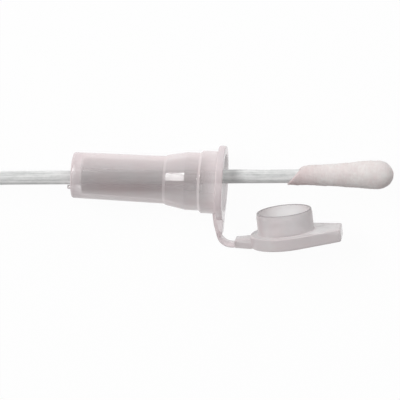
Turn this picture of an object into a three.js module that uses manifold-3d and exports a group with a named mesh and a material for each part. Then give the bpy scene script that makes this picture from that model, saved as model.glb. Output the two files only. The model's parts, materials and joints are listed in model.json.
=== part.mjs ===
// Specimen swab tube: a translucent polyethylene guard tube with a snap cap on a living hinge,
// and a long cotton-tipped swab that slides through the tube. It lies on its side, cap open.
// Lengths are millimetres and angles are radians. +Z is up and +X runs along the swab to its bud.

import * as THREE from 'three';
import { mergeVertices } from 'three/addons/utils/BufferGeometryUtils.js';
import Module from 'manifold-3d';

const wasm = await Module();
wasm.setup();

const degrees = Math.PI / 180;

// ---- Swab ----
const swabLength = 150;
const shaftRadius = 1.25;
const shaftEndChamfer = 0.15;
const budLength = 19.05;
const budTailRadius = 1.72; // where the winding starts on the shaft
const budRadius = 2.56; // at its fullest, just behind the tip
const budOffset = 0.15; // wound a little off the shaft's axis, away from the hinge
const budTipLength = 3.0; // the rounded end
const budTipCover = 3.0; // winding beyond the end of the shaft
const budStartSlant = 36 * degrees; // the winding starts on a slant round the shaft
const budBoreClearance = 0.15;
const budReach = 30.35; // from the tube's mouth to the bud's tip

// ---- Guard tube, measured back from its mouth ----
const tubeLength = 27.6;
const endWall = 1.8;
const endRadius = 4.15;
const endEdgeRound = 0.35;
const barrelRadius = 4.31; // where the barrel meets the flare
const wall = 0.85;
const flareStart = 10.9;
const flareShoulder = 0.25; // small step at the foot of the flare
const flareEnd = 6.95;
const neckRadius = 5.22;
const collarWall = 0.52;
const collarBevel = 0.45;
const seatShelf = 0.55; // left between the plug's seat and the neck
const flangeLip = 1.05; // how far the flange stands out of the collar
const flangeThickness = 1.25;
const flangeEdgeRound = 0.2;
const mouthChamfer = 0.15;

// ---- The swab's place in the tube ----
const shaftOffsetAtMouth = 1.2; // from the tube's axis, away from the hinge
const shaftOffsetAtEnd = -0.47; // towards the hinge
const guideClearance = 0.08;

// ---- Snap cap ----
const plugRadius = 5.08;
const plugWall = 0.5;
const plugHeight = 3.85;
const plugLeadIn = 0.12;
const plugLeadInLength = 0.7;
const plugClearance = 0.05;
const plugEndGap = 0.15;
const plateThickness = 2.25;
const plateInset = 0.1; // plate radius less than the flange's
const plateEdgeRound = 0.3;
const tabReach = 9.95; // from the plug's axis to the end of the thumb tab
const tabHalfWidth = 3.0;
const tabCornerRadius = 0.6;
const tongueReach = 9.35; // from the plug's axis to the end of the hinge tongue
const tongueThickness = 1.7;
const tongueRise = 0.45; // its outer face rises this much towards the strap

// ---- Living hinge ----
const strapWidth = 4.0; // shared by the root, the strap and the tongue
const strapThickness = 0.38;
const strapInset = 0.08; // strap's outer face in from the end of the tongue's outer face
const strapEndGap = 0.3; // to the root and to the tongue
const strapStartTurn = 22 * degrees; // from the root's own direction
const strapFullness = 0.42; // how widely the strap bows between its ends
const rootLength = 2.9; // below the flange's rim
const rootThickness = 1.9; // where it leaves the collar
const rootKinkDepth = 0.7; // below the flange's rim
const rootKinkThickness = 1.6;
const rootEndThickness = 0.95;
const rootEndSetback = 0.14; // its front face falls back this much from the mouth face
const rootCornerRadius = 0.35;
const hingeDrop = 4.03; // bending axis below the flange's rim
const hingeAdvance = 0.87; // bending axis in front of the mouth
const capOpenAngle = 81.5 * degrees;

// ---- Gate nub, left by the moulding on the tube's end face ----
const nubRadius = 0.42;
const nubLength = 1.0;
const nubEdgeRound = 0.15;
const nubHoleGap = 0.03;

// ---- Facets ----
const roundSegments = 48;
const smallRoundSegments = 32;
const outlineSegments = 24;
const edgeSteps = 3;
const budTipSteps = 6;
const strapSteps = 10;
const joinOverlap = 0.3; // how deep two shapes run into each other before they are joined
const settlingRounds = 12;

// ---- Sizes that follow from the ones above ----
const boreRadius = barrelRadius - wall;
const endBoreRadius = endRadius - wall;
const neckBoreRadius = neckRadius - wall;
const seatRadius = plugRadius + plugClearance;
const seatDepth = plugHeight + plugEndGap;
const collarLength = seatDepth + seatShelf;
const collarRadius = seatRadius + collarWall;
const flangeRadius = collarRadius + flangeLip;
const guideHoleRadius = shaftRadius + Math.abs(shaftOffsetAtEnd) + guideClearance;
const plateRadius = flangeRadius - plateInset;
const shaftLength = swabLength - budTipCover;
const shaftSkew = Math.atan((shaftOffsetAtMouth - shaftOffsetAtEnd) / tubeLength);

const polyethylene = { color: 0xdccfd1, roughness: 0.4, metalness: 0 };
const shaftPlastic = { color: 0xc9cbc9, roughness: 0.6, metalness: 0 };
const cotton = { color: 0xe8dddd, roughness: 0.95, metalness: 0 };

// ---- Helpers ----

function asSolid(geometry) {
  const bare = geometry.clone();
  bare.deleteAttribute('normal');
  bare.deleteAttribute('uv');
  const merged = mergeVertices(bare);
  const index = merged.index.array;
  const triVerts = [];
  for (let i = 0; i < index.length; i += 3) {
    const [a, b, c] = [index[i], index[i + 1], index[i + 2]];
    if (a !== b && b !== c && c !== a) triVerts.push(a, b, c);
  }
  const vertProperties = Float32Array.from(merged.attributes.position.array);
  const mesh = new wasm.Mesh({ numProp: 3, vertProperties, triVerts: Uint32Array.from(triVerts) });
  return new wasm.Manifold(mesh);
}

function asGeometry(solid) {
  const { vertProperties, triVerts } = solid.getMesh();
  const geometry = new THREE.BufferGeometry();
  geometry.setAttribute('position', new THREE.BufferAttribute(vertProperties, 3));
  geometry.setIndex(new THREE.BufferAttribute(triVerts, 1));
  geometry.computeVertexNormals();
  return geometry;
}

function namedMesh(name, solid, finish) {
  const mesh = new THREE.Mesh(asGeometry(solid), new THREE.MeshStandardMaterial(finish));
  mesh.name = name;
  return mesh;
}

// Points of an arc, both ends included, in a lathe's (radius, height) plane.
function arc(centreRadius, centreHeight, radius, from, to, steps = edgeSteps) {
  const points = [];
  for (let step = 0; step <= steps; step += 1) {
    const angle = from + ((to - from) * step) / steps;
    const x = centreRadius + radius * Math.cos(angle);
    points.push(new THREE.Vector2(x, centreHeight + radius * Math.sin(angle)));
  }
  return points;
}

function point(radius, height) {
  return new THREE.Vector2(radius, height);
}

// A turned body whose lathe axis lies along +X.
function turnedAlongX(profile, segments = roundSegments) {
  return asSolid(new THREE.LatheGeometry(profile, segments).rotateZ(-Math.PI / 2));
}

// A flat outline in the XY plane, made `width` thick and centred on that plane.
function centredExtrusion(shape, width) {
  const geometry = new THREE.ExtrudeGeometry(shape, { depth: width, bevelEnabled: false });
  return asSolid(geometry.translate(0, 0, -width / 2));
}

// ---- Guard tube: mouth plane at x = 0, hinge on the -Y side ----

function tubeWallProfile() {
  const collarBack = -collarLength;
  return [
    point(guideHoleRadius, -tubeLength),
    ...arc(endRadius - endEdgeRound, endEdgeRound - tubeLength, endEdgeRound, -Math.PI / 2, 0),
    point(barrelRadius, -flareStart),
    point(barrelRadius + flareShoulder, -flareStart + 2 * flareShoulder),
    point(neckRadius, -flareEnd),
    point(neckRadius, collarBack),
    point(collarRadius, collarBack + collarBevel),
    point(collarRadius, -flangeThickness),
    ...arc(flangeRadius - flangeEdgeRound, flangeEdgeRound - flangeThickness, flangeEdgeRound,
      -Math.PI / 2, 0),
    ...arc(flangeRadius - flangeEdgeRound, -flangeEdgeRound, flangeEdgeRound, 0, Math.PI / 2),
    point(seatRadius + mouthChamfer, 0),
    point(seatRadius, -mouthChamfer),
    point(seatRadius, -seatDepth),
    point(neckBoreRadius, -seatDepth),
    point(neckBoreRadius, -flareEnd),
    point(boreRadius, -flareStart),
    point(endBoreRadius, endWall - tubeLength),
    point(guideHoleRadius, endWall - tubeLength),
    point(guideHoleRadius, -tubeLength),
  ];
}

// The root is a tapering block under the flange, cut round to end inside the collar's wall.
function strapRoot() {
  const kink = -(flangeRadius + rootKinkDepth);
  const end = -(flangeRadius + rootLength);
  const shape = new THREE.Shape();
  shape.moveTo(0, 0);
  shape.lineTo(-rootThickness, -collarRadius);
  shape.lineTo(-rootKinkThickness, kink);
  shape.lineTo(-rootEndThickness, end);
  const cornerX = -rootEndSetback - rootCornerRadius;
  shape.absarc(cornerX, end + rootCornerRadius, rootCornerRadius, -Math.PI / 2, 0, false);
  shape.lineTo(0, -flangeRadius);
  shape.closePath();
  const cutRadius = seatRadius + collarWall / 2;
  const cutLength = rootThickness + joinOverlap;
  const cut = [point(0, -cutLength), point(cutRadius, -cutLength), point(cutRadius, joinOverlap),
    point(0, joinOverlap)];
  return centredExtrusion(shape, strapWidth).subtract(turnedAlongX(cut));
}

function gateNub() {
  const profile = [
    point(0, 0),
    ...arc(nubRadius - nubEdgeRound, nubEdgeRound, nubEdgeRound, -Math.PI / 2, 0),
    point(nubRadius, nubLength + joinOverlap),
    point(0, nubLength + joinOverlap),
  ];
  const fromAxis = guideHoleRadius + nubHoleGap + nubRadius;
  return turnedAlongX(profile, smallRoundSegments).translate([-tubeLength - nubLength, -fromAxis, 0]);
}

function guardTube() {
  const solid = turnedAlongX(tubeWallProfile()).add(strapRoot()).add(gateNub());
  return namedMesh('guard_tube', solid, polyethylene);
}

// ---- Snap cap: plug axis along +Z from the plate's inner face, thumb tab towards +X ----

// A round plate whose sides run straight to the thumb tab's rounded corners.
function plateOutline() {
  const cornerX = tabReach - tabCornerRadius;
  const cornerY = tabHalfWidth - tabCornerRadius;
  const lean = Math.acos((plateRadius - tabCornerRadius) / Math.hypot(cornerX, cornerY));
  const sideAngle = Math.atan2(cornerY, cornerX) + lean;
  const shape = new THREE.Shape();
  shape.absarc(0, 0, plateRadius, sideAngle, 2 * Math.PI - sideAngle, false);
  shape.absarc(cornerX, -cornerY, tabCornerRadius, -sideAngle, 0, false);
  shape.absarc(cornerX, cornerY, tabCornerRadius, 0, sideAngle, false);
  shape.closePath();
  return shape;
}

function capPlate() {
  const geometry = new THREE.ExtrudeGeometry(plateOutline(), {
    depth: plateThickness - 2 * plateEdgeRound,
    curveSegments: outlineSegments,
    bevelThickness: plateEdgeRound,
    bevelSize: plateEdgeRound,
    bevelOffset: -plateEdgeRound,
    bevelSegments: edgeSteps,
  });
  return asSolid(geometry.translate(0, 0, plateEdgeRound - plateThickness));
}

function capPlug() {
  const profile = [
    point(plugRadius - plugWall, -joinOverlap),
    point(plugRadius, -joinOverlap),
    point(plugRadius, plugHeight - plugLeadInLength),
    point(plugRadius - plugLeadIn, plugHeight),
    point(plugRadius - plugWall, plugHeight),
    point(plugRadius - plugWall, -joinOverlap),
  ];
  return asSolid(new THREE.LatheGeometry(profile, roundSegments).rotateX(Math.PI / 2));
}

// The tongue's side outline is drawn with Y as height, then stood up so that height runs along Z.
function hingeTongue() {
  const insidePlate = plateEdgeRound + joinOverlap - plateRadius;
  const top = tongueThickness - plateThickness;
  const shape = new THREE.Shape();
  shape.moveTo(-tongueReach, tongueRise - plateThickness);
  shape.lineTo(-plateRadius, -plateThickness);
  shape.lineTo(insidePlate, -plateThickness);
  shape.lineTo(insidePlate, top);
  shape.lineTo(-tongueReach, top);
  shape.closePath();
  return centredExtrusion(shape, strapWidth).rotate([90, 0, 0]);
}

function snapCap() {
  const solid = capPlate().add(hingeTongue()).add(capPlug());
  return namedMesh('snap_cap', solid, polyethylene);
}

// The cap's own axes when it is shut: tab away from the hinge, plug into the mouth.
const shutAxes = new THREE.Matrix4().makeBasis(
  new THREE.Vector3(0, 1, 0), new THREE.Vector3(0, 0, -1), new THREE.Vector3(-1, 0, 0),
);
const hingeAxis = new THREE.Vector3(hingeAdvance, -(flangeRadius + hingeDrop), 0);

function capOnHinge() {
  const cap = snapCap();
  cap.applyMatrix4(shutAxes);
  cap.position.sub(hingeAxis);
  const swing = new THREE.Group();
  swing.position.copy(hingeAxis);
  swing.rotation.z = -capOpenAngle;
  swing.add(cap);
  swing.updateMatrixWorld(true);
  return swing;
}

// A point of the cap, given in the cap's own axes, in the tube's axes with the cap open.
function onOpenCap(x, y, z) {
  const turn = new THREE.Matrix4().makeRotationZ(-capOpenAngle);
  const shut = new THREE.Vector3(x, y, z).applyMatrix4(shutAxes).sub(hingeAxis);
  return shut.applyMatrix4(turn).add(hingeAxis);
}

// ---- Strap: one thin band that bends from the root to the tongue ----

function hingeStrap() {
  const rootEnd = -(flangeRadius + rootLength);
  const start = new THREE.Vector2(-rootEndThickness + strapThickness / 2, rootEnd - strapEndGap);
  const startWay = new THREE.Vector2(Math.sin(strapStartTurn), -Math.cos(strapStartTurn));
  const midHeight = tongueRise + strapInset + strapThickness / 2 - plateThickness;
  const seat = onOpenCap(-tongueReach - strapEndGap, 0, midHeight);
  const end = new THREE.Vector2(seat.x, seat.y);
  const endWay = new THREE.Vector2(Math.sin(capOpenAngle), Math.cos(capOpenAngle));
  const handle = start.distanceTo(end) * strapFullness;
  const bend = new THREE.CubicBezierCurve(
    start, start.clone().addScaledVector(startWay, handle),
    end.clone().addScaledVector(endWay, -handle), end,
  );
  const outer = [];
  const inner = [];
  for (let step = 0; step <= strapSteps; step += 1) {
    const at = bend.getPoint(step / strapSteps);
    const way = bend.getTangent(step / strapSteps);
    const side = new THREE.Vector2(way.y, -way.x).multiplyScalar(strapThickness / 2);
    outer.push(at.clone().add(side));
    inner.unshift(at.clone().sub(side));
  }
  const shape = new THREE.Shape([...outer, ...inner]);
  return namedMesh('hinge_strap', centredExtrusion(shape, strapWidth), polyethylene);
}

// ---- Swab: axis along X, bud tip at +X, x = 0 at the tube's mouth ----

function swabShaft() {
  const profile = [
    point(0, 0),
    point(shaftRadius - shaftEndChamfer, 0),
    point(shaftRadius, shaftEndChamfer),
    point(shaftRadius, shaftLength),
    point(0, shaftLength),
  ];
  const solid = turnedAlongX(profile, smallRoundSegments).translate([budReach - swabLength, 0, 0]);
  return namedMesh('swab_shaft', solid, shaftPlastic);
}

function cottonBud() {
  const bore = shaftRadius + budBoreClearance;
  const boreLength = budLength - budTipCover + budBoreClearance;
  const tipStart = budLength - budTipLength;
  const tip = arc(0, 0, 1, 0, Math.PI / 2, budTipSteps)
    .map(({ x, y }) => point(Math.max(0, x) * budRadius, tipStart + y * budTipLength));
  tip.at(-1).x = 0;
  const winding = turnedAlongX([point(0, 0), point(budTailRadius, 0), ...tip], smallRoundSegments)
    .translate([0, budOffset, 0]);
  const hole = [point(0, -budRadius), point(bore, -budRadius), point(bore, boreLength),
    point(0, boreLength)];
  const block = 4 * budRadius;
  const slantedCut = new THREE.BoxGeometry(block, block, block)
    .translate(-block / 2, budTailRadius, 0)
    .rotateZ(-budStartSlant)
    .translate(0, budOffset - budTailRadius, 0);
  const solid = winding
    .subtract(turnedAlongX(hole, smallRoundSegments))
    .subtract(asSolid(slantedCut))
    .translate([budReach - budLength, 0, 0]);
  return namedMesh('cotton_bud', solid, cotton);
}

// ---- Assembly ----

// Everything shares one plane of symmetry, z = 0, before the object is laid down.
const tubeFrame = new THREE.Group();
tubeFrame.rotation.z = -shaftSkew;
tubeFrame.position.y = -shaftOffsetAtMouth;
tubeFrame.add(guardTube(), hingeStrap(), capOnHinge());
tubeFrame.updateMatrixWorld(true);

const lying = new THREE.Group();
lying.add(tubeFrame, swabShaft(), cottonBud());

// It rests on three round edges: the shaft's butt, the flange's back and the cap's outer face.
function restingEdges() {
  const inTube = (x, y) => tubeFrame.localToWorld(new THREE.Vector3(x, y, 0));
  const plateCentre = tubeFrame.localToWorld(onOpenCap(0, 0, plateEdgeRound - plateThickness));
  const plateAxis = tubeFrame.localToWorld(onOpenCap(0, 0, plateEdgeRound)).sub(plateCentre);
  return [
    {
      centre: new THREE.Vector3(budReach - swabLength + shaftEndChamfer, 0, 0),
      axis: new THREE.Vector3(1, 0, 0),
      radius: shaftRadius,
    },
    {
      centre: inTube(flangeEdgeRound - flangeThickness, 0),
      axis: inTube(1, 0).sub(inTube(0, 0)),
      radius: flangeRadius,
    },
    { centre: plateCentre, axis: plateAxis.normalize(), radius: plateRadius },
  ];
}

// The floor's upward direction: the plane through each edge's lowest point, found by repetition.
function floorNormal(edges) {
  const normal = new THREE.Vector3(0, 0, 1);
  for (let round = 0; round < settlingRounds; round += 1) {
    const [butt, flange, plate] = edges.map(({ centre, axis, radius }) => {
      const down = normal.clone().addScaledVector(axis, -normal.dot(axis)).setLength(-radius);
      return centre.clone().add(down);
    });
    normal.crossVectors(plate.sub(butt), flange.sub(butt)).normalize();
  }
  return normal;
}

const up = floorNormal(restingEdges());
const along = new THREE.Vector3(1, 0, 0).addScaledVector(up, -up.x).normalize();
const across = new THREE.Vector3().crossVectors(up, along);
const layDown = new THREE.Matrix4().makeBasis(along, across, up).transpose();
lying.quaternion.setFromRotationMatrix(layDown);

// The origin is at the bottom centre of the box around the whole object.
const box = new THREE.Box3().setFromObject(lying, true);
const middle = box.getCenter(new THREE.Vector3());
lying.position.set(-middle.x, -middle.y, -box.min.z);

const swabTube = new THREE.Group();
swabTube.add(lying);

export default swabTube;
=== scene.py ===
"""Looks of a specimen swab tube.

A translucent guard tube with a snap cap on a living hinge, and a long cotton-tipped swab that
slides through it. Everything is in metres, in the frame's axes.
"""

import json
import math

import bmesh
import bpy
from bpy.props import FloatProperty, FloatVectorProperty, IntProperty, PointerProperty
from mathutils import Matrix, Vector, noise


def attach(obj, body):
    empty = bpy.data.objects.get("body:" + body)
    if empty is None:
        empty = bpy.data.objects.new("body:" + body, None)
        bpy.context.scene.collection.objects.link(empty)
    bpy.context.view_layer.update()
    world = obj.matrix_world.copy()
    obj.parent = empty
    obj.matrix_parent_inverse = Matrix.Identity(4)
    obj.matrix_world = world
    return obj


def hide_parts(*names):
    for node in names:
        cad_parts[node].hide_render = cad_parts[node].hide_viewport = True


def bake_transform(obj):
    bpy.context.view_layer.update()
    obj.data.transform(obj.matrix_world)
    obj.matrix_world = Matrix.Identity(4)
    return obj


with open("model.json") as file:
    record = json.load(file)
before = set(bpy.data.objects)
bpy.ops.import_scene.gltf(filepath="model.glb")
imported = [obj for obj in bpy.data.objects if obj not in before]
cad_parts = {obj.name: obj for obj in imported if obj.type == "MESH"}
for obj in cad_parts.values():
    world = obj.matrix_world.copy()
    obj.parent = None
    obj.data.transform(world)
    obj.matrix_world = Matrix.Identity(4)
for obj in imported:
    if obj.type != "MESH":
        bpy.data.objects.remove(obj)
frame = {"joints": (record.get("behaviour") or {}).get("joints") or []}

bl_info = {
    "name": "Specimen Swab Tube",
    "version": (1, 0, 0),
    "blender": (4, 5, 0),
    "location": "3D View > Sidebar > Swab Tube",
    "description": "Builds a guard tube with a snap cap, and the cotton-tipped swab in it",
    "category": "Object",
}

MM = 0.001


# ---- Sizes and colours that a user may change ----

def length(name, description, millimetres):
    """A length property, with its default given in millimetres."""
    return FloatProperty(
        name=name, description=description, default=millimetres * MM, unit="LENGTH",
        precision=5, soft_min=0.0,
    )


def colour(name, description, red, green, blue):
    """A colour property, with its default in linear light."""
    return FloatVectorProperty(
        name=name, description=description, default=(red, green, blue), subtype="COLOR",
        size=3, min=0.0, max=1.0,
    )


def angle(name, description, degrees):
    """An angle property, with its default given in degrees."""
    return FloatProperty(
        name=name, description=description, default=math.radians(degrees), unit="ROTATION",
    )


def share(name, description, value):
    """A share from 0 to 1."""
    return FloatProperty(name=name, description=description, default=value, min=0.0, max=1.0)


def number(name, description, value, **settings):
    """A plain number."""
    return FloatProperty(name=name, description=description, default=value, **settings)


def count(name, description, value, least=0):
    """A whole number."""
    return IntProperty(name=name, description=description, default=value, min=least)


class TubeSizes(bpy.types.PropertyGroup):
    """The guard tube, measured back from its mouth."""

    length: length("Length", "From the mouth to the closed end", 27.6)
    end_wall: length("End wall", "Thickness of the closed end", 1.8)
    end_radius: length("End radius", "Outer radius at the closed end", 4.15)
    end_edge: length("End edge", "Rounding of the closed end's edge", 0.35)
    barrel_radius: length("Barrel radius", "Outer radius where the flare starts", 4.31)
    wall: length("Wall", "Wall of the barrel and the neck", 0.85)
    flare_start: length("Flare start", "From the mouth to the foot of the flare", 10.9)
    flare_shoulder: length("Flare shoulder", "Small step at the foot of the flare", 0.25)
    flare_end: length("Flare end", "From the mouth to the top of the flare", 6.95)
    neck_radius: length("Neck radius", "Outer radius between the flare and the collar", 5.22)
    collar_wall: length("Collar wall", "Wall round the plug's seat", 0.52)
    collar_bevel: length("Collar bevel", "Slope at the back of the collar", 0.45)
    seat_radius: length("Seat radius", "Bore that the cap's plug goes into", 5.13)
    seat_depth: length("Seat depth", "Depth of that bore", 4.0)
    # painted light: how far in from the mouth the bore is painted lighter
    painted_light_depth: length("Pale depth", "How far in from the mouth the bore looks lighter", 4.0)
    # painted shadow: the next three place the shaft's shadow, painted on the bore
    shaft_shadow_at_mouth: length("Streak at mouth", "The bore's dark streak, from the axis", -0.4)
    shaft_shadow_at_end: length("Streak at end", "The same at the closed end", -2.1)
    shaft_shadow_reach: length("Streak reach", "How far the dark streak fades out to", 1.8)
    seat_shelf: length("Seat shelf", "Left between the seat and the neck", 0.55)
    flange_lip: length("Flange lip", "How far the flange stands out of the collar", 1.05)
    flange_thickness: length("Flange thickness", "Along the tube", 1.25)
    flange_edge: length("Flange edge", "Rounding of the flange's rim", 0.2)
    mouth_chamfer: length("Mouth chamfer", "Eased edge of the seat's bore", 0.15)
    guide_radius: length("Guide hole", "Hole that the shaft slides through", 1.8)
    nub_radius: length("Nub radius", "Moulding nub on the closed end", 0.42)
    nub_length: length("Nub length", "How far the nub stands out", 1.0)
    segments: count("Segments", "Facets round the turned pieces", 144, least=24)


class CapSizes(bpy.types.PropertyGroup):
    """The snap cap. Its plug's axis is +Z from the plate's inner face, its tab points to +X."""

    plug_radius: length("Plug radius", "Outer radius of the plug", 5.08)
    plug_wall: length("Plug wall", "Wall of the hollow plug", 0.5)
    plug_height: length("Plug height", "Above the plate's inner face", 3.85)
    plug_lead_in: length("Lead-in", "How much the plug narrows at its rim", 0.12)
    plug_lead_in_length: length("Lead-in length", "Along the plug", 0.7)
    plug_fillet: length("Plug fillet", "Where the plug meets the plate", 0.3)
    plate_thickness: length("Plate thickness", "Across the plate", 2.25)
    plate_radius: length("Plate radius", "Round the plug's axis", 6.6)
    plate_edge: length("Plate edge", "Rounding of the plate's edges", 0.3)
    tab_reach: length("Tab reach", "From the plug's axis to the thumb tab's end", 9.95)
    tab_half_width: length("Tab half width", "Across the thumb tab", 3.0)
    tab_corner: length("Tab corner", "Corner radius of the thumb tab", 0.6)
    tongue_reach: length("Tongue reach", "From the plug's axis to the hinge tongue's end", 9.35)
    tongue_thickness: length("Tongue thickness", "Across the hinge tongue", 1.7)
    tongue_rise: length("Tongue rise", "Slope of the tongue's outer face", 0.45)
    segments: count("Segments", "Facets round the plate and the plug", 144, least=24)


class HingeSizes(bpy.types.PropertyGroup):
    """The root under the flange, the thin strap and the place of the cap."""

    strap_width: length("Strap width", "Of the root, the strap and the tongue", 4.0)
    strap_thickness: length("Strap thickness", "The thin band that bends", 0.38)
    strap_inset: length("Strap inset", "In from the tongue's outer face", 0.08)
    strap_overlap: length("Strap overlap", "Its run into the root and the tongue", 0.1)
    strap_edge: length("Strap edge", "Rounding of the band's long edges", 0.1)
    side_edge: length("Side edge", "Eased edges of the root and the tongue", 0.12)
    strap_start_turn: angle("Strap start turn", "From the root's own direction", 22)
    strap_fullness: number("Strap fullness", "How widely the strap bows", 0.42, min=0.1, max=1.0)
    root_length: length("Root length", "Below the flange's rim", 2.9)
    root_thickness: length("Root thickness", "Where it leaves the collar", 1.9)
    root_kink_depth: length("Root kink depth", "Below the flange's rim", 0.7)
    root_kink_thickness: length("Root kink thickness", "At the kink", 1.6)
    root_end_thickness: length("Root end thickness", "At the root's lower end", 0.95)
    root_end_setback: length("Root end setback", "Behind the mouth face", 0.14)
    root_corner: length("Root corner", "Rounding at the root's lower end", 0.35)
    drop: length("Hinge drop", "Bending axis below the flange's rim", 4.03)
    advance: length("Hinge advance", "Bending axis in front of the mouth", 0.87)
    open_angle: angle("Open angle", "How far the cap is open", 81.5)


class SwabSizes(bpy.types.PropertyGroup):
    """The swab, and where it lies in the tube."""

    length: length("Length", "Whole swab", 150.0)
    shaft_radius: length("Shaft radius", "Of the stick", 1.25)
    shaft_chamfer: length("Shaft chamfer", "Eased edge of the stick's butt", 0.15)
    reach: length("Reach", "From the tube's mouth to the bud's tip", 30.35)
    bud_length: length("Bud length", "Of the winding", 19.05)
    tail_radius: length("Tail radius", "Where the winding starts", 1.72)
    bud_radius: length("Bud radius", "At its fullest", 2.56)
    bud_offset: length("Bud offset", "Off the stick's axis, away from the hinge", 0.15)
    tip_length: length("Tip length", "The rounded end", 3.0)
    tip_cover: length("Tip cover", "Winding beyond the stick", 3.0)
    start_slant: angle("Start slant", "The winding starts on a slant", 34)
    tail_lip: length("Tail lip", "Rounding of the winding's start on its long side", 0.12)
    tail_rounding: length("Tail rounding", "What is added to it on the short side", 1.3)
    offset_at_mouth: length("Offset at mouth", "Stick's axis from the tube's", 1.2)
    offset_at_end: length("Offset at end", "The same at the closed end", -0.47)
    fibre_count: count("Fibres", "Loose fibre ends on the winding", 900)
    fibre_length: length("Fibre length", "Radius of the arc that a fibre follows", 0.9)
    fibre_radius: length("Fibre radius", "Half its thickness", 0.012)
    fibre_lift: length("Fibre lift", "How far its middle stands off the winding", 0.03)


class Finishes(bpy.types.PropertyGroup):
    """Colours of the materials, in linear light, and how much the plastic hides."""

    # some of these colours are painted shade or painted light, as said at each
    plastic: colour("Plastic", "Translucent moulded polyethylene", 0.88, 0.77, 0.785)
    # painted shade: the bore's darker colour stands for the dark core that the curved wall gives
    # the tube
    plastic_bore_painted_shade: colour("Plastic bore", "Its darker look inside the tube", 0.29, 0.265, 0.267)
    # painted shade: the cap is the same plastic as the tube, and its greyer colour stands for the
    # shade on it
    plastic_cap_painted_shade: colour("Plastic cap", "Its greyer look in the thick cap", 0.68, 0.62, 0.63)
    # painted light: lighter, for the light that comes through the translucent walls into the
    # hollows and the mouth
    plastic_hollow_painted_light: colour("Plastic hollow", "Its lighter look in a hollow", 0.95, 0.91, 0.92)
    # painted shade: the rim is darker for the dark outline that light gives the thin translucent
    # rim
    plastic_rim_painted_shade: colour("Plastic rim", "Its darker look on the plug's rim", 0.36, 0.33, 0.335)
    # painted shadow: tint of the shaft's shadow, painted on the bore
    painted_shaft_shadow: colour("Streak", "Tint of the dark streak in the bore", 0.3, 0.07, 0.085)
    wall_milk: share("Wall milk", "How much a thin wall hides, seen square on", 0.25)
    solid_milk: share("Solid milk", "How much a solid part hides, seen square on", 0.44)
    bore_milk: share("Bore milk", "How much the inner skin of the tube hides", 0.48)
    # how much the painted shadow of the shaft hides
    shaft_shadow_milk: share("Streak milk", "How much its dark streak hides", 0.97)
    plug_milk: share("Plug milk", "How much the cap's plug hides, seen square on", 0.38)
    plate_milk: share("Plate milk", "How much the cap's plate hides, seen square on", 0.52)
    hollow_milk: share("Hollow milk", "How much the skin of the cap's hollow hides", 0.48)
    rim_milk: share("Rim milk", "How much the plug's thin rim hides", 0.8)
    edge_milk: share("Edge milk", "How much the plastic hides, seen edge on", 0.92)
    stick: colour("Stick", "Light grey stick", 0.75, 0.75, 0.745)
    cotton: colour("Cotton", "Wound cotton", 0.845, 0.79, 0.79)
    floor: colour("Floor", "Plain pale floor", 0.85, 0.85, 0.85)


class StageSizes(bpy.types.PropertyGroup):
    """The camera, the light and how white the floor looks."""

    camera_way: FloatVectorProperty(
        name="Camera way", description="From the object to the camera, in the swab's own axes",
        default=(0.1085, 0.2188, 0.9697), subtype="DIRECTION", size=3,
    )
    camera_roll: angle("Camera roll", "Turn of the camera about its own view", 0.3)
    camera_distance: length("Camera distance", "From what it aims at", 600.0)
    aim_left: length("Aim left", "The camera aims this much left of the tube's mouth", 4.5)
    aim_below: length("Aim below", "And this much below it", 3.06)
    lens: number("Lens", "Focal length in millimetres", 300.0, min=1.0)
    lamp_distance: length("Lamp distance", "From the tube's mouth to each soft lamp", 600.0)
    key_power: number("Key power", "Of the soft lamp on the left", 1.95, unit="POWER")
    top_power: number("Top power", "Of the soft lamp above", 1.1, unit="POWER")
    sky_light: share("Sky light", "Strength of the even light from all round", 0.36)
    floor_white: share("Floor white", "How much of the floor looks plain white", 0.96)


GROUPS = {
    "swab_tube_tube": TubeSizes,
    "swab_tube_cap": CapSizes,
    "swab_tube_hinge": HingeSizes,
    "swab_tube_swab": SwabSizes,
    "swab_tube_finishes": Finishes,
    "swab_tube_stage": StageSizes,
}


# ---- Where the pieces lie ----

def joint(name):
    """The frame's joint of that name."""
    return next(row for row in frame["joints"] if row["name"] == name)


def axes_matrix(along, outward, across, origin):
    """The matrix whose columns are three directions and an origin."""
    matrix = Matrix((along, outward, across)).transposed().to_4x4()
    matrix.translation = origin
    return matrix


def hinge_point():
    """The bending axis in the tube's own axes."""
    tube, hinge = bpy.context.scene.swab_tube_tube, bpy.context.scene.swab_tube_hinge
    return Vector((hinge.advance, -(flange_radius(tube) + hinge.drop), 0.0))


def flange_radius(tube):
    """Outer radius of the flange."""
    return tube.seat_radius + tube.collar_wall + tube.flange_lip


def tube_in_swab():
    """The tube's own axes, seen from the swab's: it leans a little on the stick."""
    scene = bpy.context.scene
    tube, swab = scene.swab_tube_tube, scene.swab_tube_swab
    skew = math.atan((swab.offset_at_mouth - swab.offset_at_end) / tube.length)
    return Matrix.Translation((0.0, -swab.offset_at_mouth, 0.0)) @ Matrix.Rotation(-skew, 4, "Z")


def swab_axes():
    """The swab's own axes: X along it from the tube's mouth to the bud, Y away from the hinge."""
    along = Vector(joint("swab_slide")["axis"]).normalized()
    across = -Vector(joint("cap_hinge")["axis"]).normalized()
    outward = across.cross(along)
    directions = axes_matrix(along, outward, across, Vector())
    hinge_in_swab = tube_in_swab() @ hinge_point()
    origin = Vector(joint("cap_hinge")["pos_m"]) - directions @ hinge_in_swab
    return axes_matrix(along, outward, across, origin)


def tube_axes():
    """The tube's own axes: X out of its mouth, Y away from the hinge."""
    return swab_axes() @ tube_in_swab()


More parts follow.
